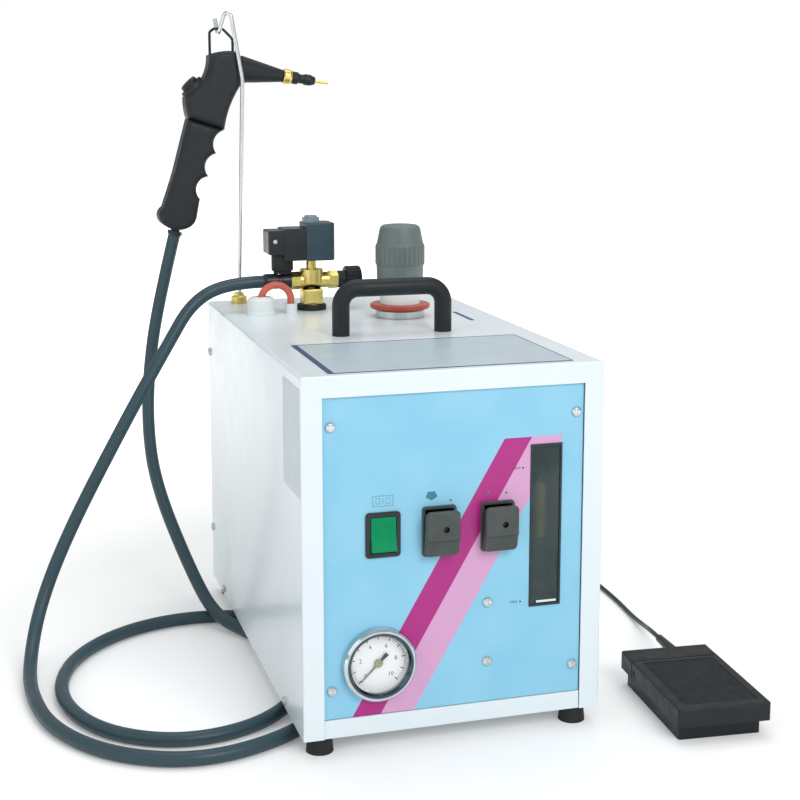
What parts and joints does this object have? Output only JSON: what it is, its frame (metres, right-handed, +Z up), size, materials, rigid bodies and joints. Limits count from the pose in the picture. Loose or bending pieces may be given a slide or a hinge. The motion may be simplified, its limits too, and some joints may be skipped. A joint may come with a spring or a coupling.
{
  "type": "jewelry steam cleaner",
  "caption": "Boxy bench steam cleaner with a carrying handle, printed front panel with switches, gauge and level window, a hose-fed steam gun on a wire holder and a foot pedal.",
  "frame": {"origin": "middle of the footprint of cabinet, gun and pedal on the bench, cords left out", "axes": "+Z up, -Y towards the front panel, +X towards the pedal's side"},
  "size_m": [0.539, 0.5423, 0.5377],
  "materials": {
    "cabinet_paint": "smooth gloss",
    "panel_print": "printed satin",
    "steel": "brushed",
    "bright_steel": "polished",
    "zinc": "zinc plated",
    "brass": "machined",
    "copper": "drawn copper",
    "black_plastic": "fine grain",
    "handle_plastic": "moulded",
    "coil_plastic": "moulded",
    "switch_grey": "moulded",
    "lens_green": "translucent gloss",
    "dial_white": "printed",
    "needle_black": "painted",
    "clear_glass": "clear",
    "float_yellow": "moulded",
    "cap_grey": "moulded",
    "pale_plastic": "moulded",
    "red_silicone": "moulded silicone",
    "foot_rubber": "moulded",
    "hose_rubber": "smooth",
    "cable_rubber": "smooth"
  },
  "bodies": {
    "cabinet": {"base_tray": "cabinet_paint", "cabinet_cover": "cabinet_paint", "front_panel": "panel_print", "rear_panel": "cabinet_paint", "rubber_feet": "foot_rubber", "cabinet_screws": "zinc", "carry_handle": "handle_plastic", "rocker_frame": "black_plastic", "left_paddle_frame": "switch_grey", "right_paddle_frame": "switch_grey", "gauge_case": "steel", "gauge_dial": "dial_white", "gauge_glass": "clear_glass", "gauge_bezel": "bright_steel", "window_frame": "black_plastic", "sight_tube": "clear_glass", "sight_fittings": "brass", "valve_nipple": "brass", "valve_body": "brass", "valve_coil": "coil_plastic", "coil_nut": "coil_plastic", "coil_plug": "black_plastic", "hose_socket": "black_plastic", "lead_boot": "pale_plastic", "sleeved_lead": "red_silicone", "filler_neck": "steel", "boiler_tank": "steel", "heater": "steel", "gauge_pipe": "copper", "mains_inlet": "black_plastic", "pedal_gland": "black_plastic", "holder_rod": "bright_steel", "holder_nut": "brass", "steam_hose": "hose_rubber", "pedal_base": "black_plastic", "pedal_spring": "steel", "pedal_switch": "black_plastic", "cable_relief": "cable_rubber", "cable_run": "cable_rubber", "cable_coil": "cable_rubber", "cable_end": "cable_rubber"},
    "rocker": {"rocker_button": "lens_green"},
    "left_lever": {"left_paddle": "switch_grey"},
    "right_lever": {"right_paddle": "switch_grey"},
    "needle": {"gauge_needle": "needle_black"},
    "float": {"level_float": "float_yellow"},
    "plunger": {"valve_plunger": "steel"},
    "knob": {"flow_knob": "black_plastic"},
    "seal": {"cap_gasket": "red_silicone"},
    "cap": {"filler_cap": "cap_grey", "cap_collar": "pale_plastic"},
    "gun": {"gun_head": "black_plastic", "gun_grip": "black_plastic", "gun_nozzle": "black_plastic", "nozzle_core": "brass", "nozzle_tip": "black_plastic", "gun_loop": "bright_steel", "gun_tail": "black_plastic"},
    "trigger": {"gun_button": "black_plastic"},
    "treadle": {"pedal_treadle": "black_plastic"}
  },
  "joints": [
    {"name": "rocker_rock", "type": "hinge", "parent": "cabinet", "child": "rocker", "pos_m": [-0.09217, -0.16621, 0.1605], "axis": [1, 0, 0], "range_deg": [0, 16]},
    {"name": "left_paddle_rock", "type": "hinge", "parent": "cabinet", "child": "left_lever", "pos_m": [-0.05077, -0.16721, 0.16], "axis": [-1, 0, 0], "range_deg": [0, 16]},
    {"name": "right_paddle_rock", "type": "hinge", "parent": "cabinet", "child": "right_lever", "pos_m": [-0.00677, -0.16721, 0.16], "axis": [-1, 0, 0], "range_deg": [0, 16]},
    {"name": "needle_turn", "type": "hinge", "parent": "cabinet", "child": "needle", "pos_m": [-0.09547, -0.16821, 0.0662], "axis": [0, 1, 0], "range_deg": [0, 270], "stiffness_Nm_per_rad": 0.001},
    {"name": "float_rise", "type": "slide", "parent": "cabinet", "child": "float", "axis": [0, 0, 1], "range_m": [-0.032, 0.016]},
    {"name": "plunger_lift", "type": "slide", "parent": "cabinet", "child": "plunger", "axis": [0, 0, 1], "range_m": [0, 0.003], "stiffness_N_per_m": 300},
    {"name": "knob_turn", "type": "hinge", "parent": "cabinet", "child": "knob", "pos_m": [-0.04697, 0.14029, 0.302], "axis": [1, 0, 0], "range_deg": [0, 720]},
    {"name": "cap_lift", "type": "slide", "parent": "cabinet", "child": "seal", "axis": [0, 0, 1], "range_m": [0, 0.012]},
    {"name": "cap_turn", "type": "hinge", "parent": "seal", "child": "cap", "pos_m": [-0.00657, 0.07829, 0.296], "axis": [0, 0, 1], "range_deg": [0, 1440]},
    {"name": "gun_lift", "type": "slide", "parent": "cabinet", "child": "gun", "axis": [0, 0, 1], "range_m": [0, 0.014]},
    {"name": "trigger_press", "type": "slide", "parent": "gun", "child": "trigger", "axis": [0.7071, 0, -0.7071], "range_m": [0, 0.003], "stiffness_N_per_m": 400},
    {"name": "treadle_press", "type": "hinge", "parent": "cabinet", "child": "treadle", "pos_m": [0.15723, -0.13541, 0.019], "axis": [0.9969, -0.0785, 0], "range_deg": [0, 5], "stiffness_Nm_per_rad": 4, "springref_deg": -6.88, "deforming": ["pedal_spring"]}
  ],
  "couplings": [
    {"joint": "cap_lift", "follows": "cap_turn", "m_per_rad": 0.000477}
  ]
}
